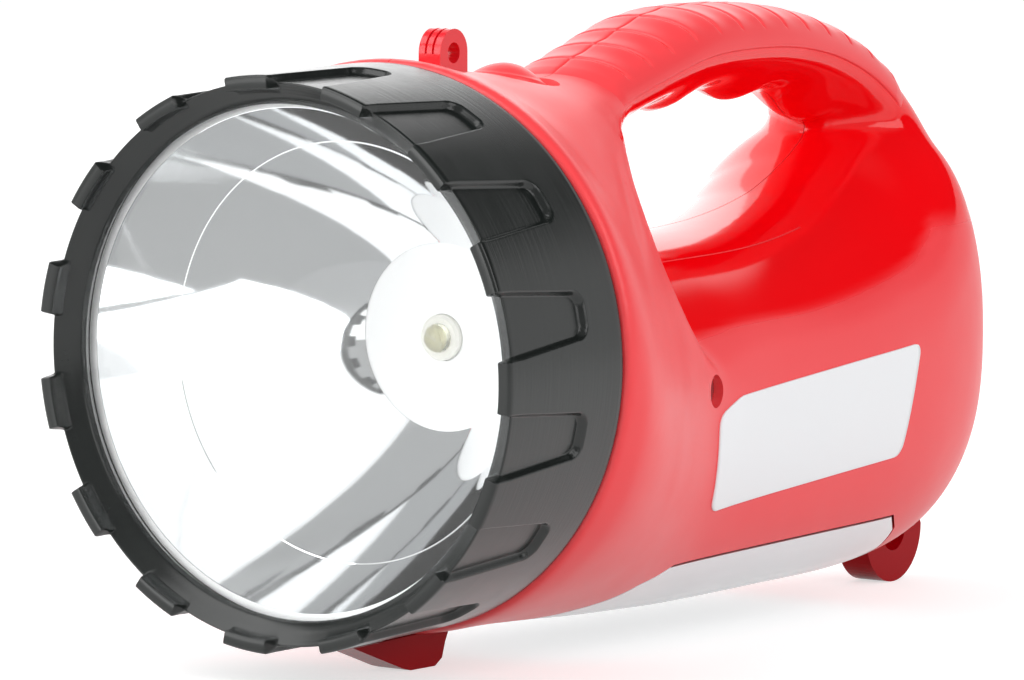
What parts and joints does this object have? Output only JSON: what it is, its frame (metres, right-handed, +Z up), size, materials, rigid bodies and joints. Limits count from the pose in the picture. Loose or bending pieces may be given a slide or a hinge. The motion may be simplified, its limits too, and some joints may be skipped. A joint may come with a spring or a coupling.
{
  "type": "rechargeable hand lantern",
  "caption": "Red hand lantern: large mirror lamp in a lugged black bezel, arched grip over a hand opening, push button, white light panel underneath, strap eye and strap foot.",
  "frame": {"origin": "on the ground, under the middle of the lantern's box", "axes": "+Z up, -Y the way the lamp shines, +X the flank with the label"},
  "size_m": [0.102, 0.2144, 0.115],
  "materials": {
    "shell_red": "satin red, polished inside the hand opening",
    "bezel_black": "satin black, finely brushed",
    "lens_clear": "clear, polished",
    "gasket_white": "matte white",
    "mirror": "bright metallised",
    "plate_white": "matte white",
    "led_base": "pale cream",
    "led_dome": "clear with a yellow phosphor",
    "aluminium": "bare",
    "steel": "plated",
    "black_plastic": "satin black",
    "diffuser_white": "milky white",
    "board_green": "green solder mask",
    "battery_grey": "matte grey",
    "label_white": "bare white film",
    "lead_red": "insulated lead",
    "lead_yellow": "insulated lead",
    "lead_blue": "insulated lead",
    "lead_grey": "insulated lead"
  },
  "bodies": {
    "housing": {"body_right": "shell_red", "body_left": "shell_red", "neck_ring": "shell_red", "front_lens": "lens_clear", "lens_gasket": "gasket_white", "reflector": "mirror", "lamp_plate": "plate_white", "lamp_led_base": "led_base", "lamp_led_dome": "led_dome", "heat_sink": "aluminium", "plate_screws": "steel", "switch_body": "black_plastic", "front_strap_eye": "shell_red", "front_foot": "shell_red", "rear_strap_foot": "shell_red", "diffuser_panel": "diffuser_white", "strip_board": "board_green", "strip_leds": "led_base", "battery": "battery_grey", "battery_terminals": "steel", "battery_cradle": "black_plastic", "charge_board": "board_green", "charge_socket": "black_plastic", "socket_base": "black_plastic", "socket_plug": "black_plastic", "board_screws": "steel", "body_screws_right": "steel", "body_screws_left": "steel", "flank_label": "label_white", "battery_leads": "lead_red", "lamp_leads": "lead_yellow", "switch_leads": "lead_blue", "strip_leads": "lead_grey"},
    "bezel": {"bezel_ring": "bezel_black"},
    "button": {"switch_button": "shell_red", "switch_plunger": "plate_white"}
  },
  "joints": [
    {"name": "bezel_turn", "type": "hinge", "parent": "housing", "child": "bezel", "pos_m": [0, -0.10573, 0.05626], "axis": [0, -0.9996, -0.0299], "range_deg": [0, 180]},
    {"name": "button_press", "type": "slide", "parent": "housing", "child": "button", "axis": [0, -0.2298, -0.9732], "range_m": [0, 0.002], "stiffness_N_per_m": 400, "springref_m": -0.0004}
  ]
}
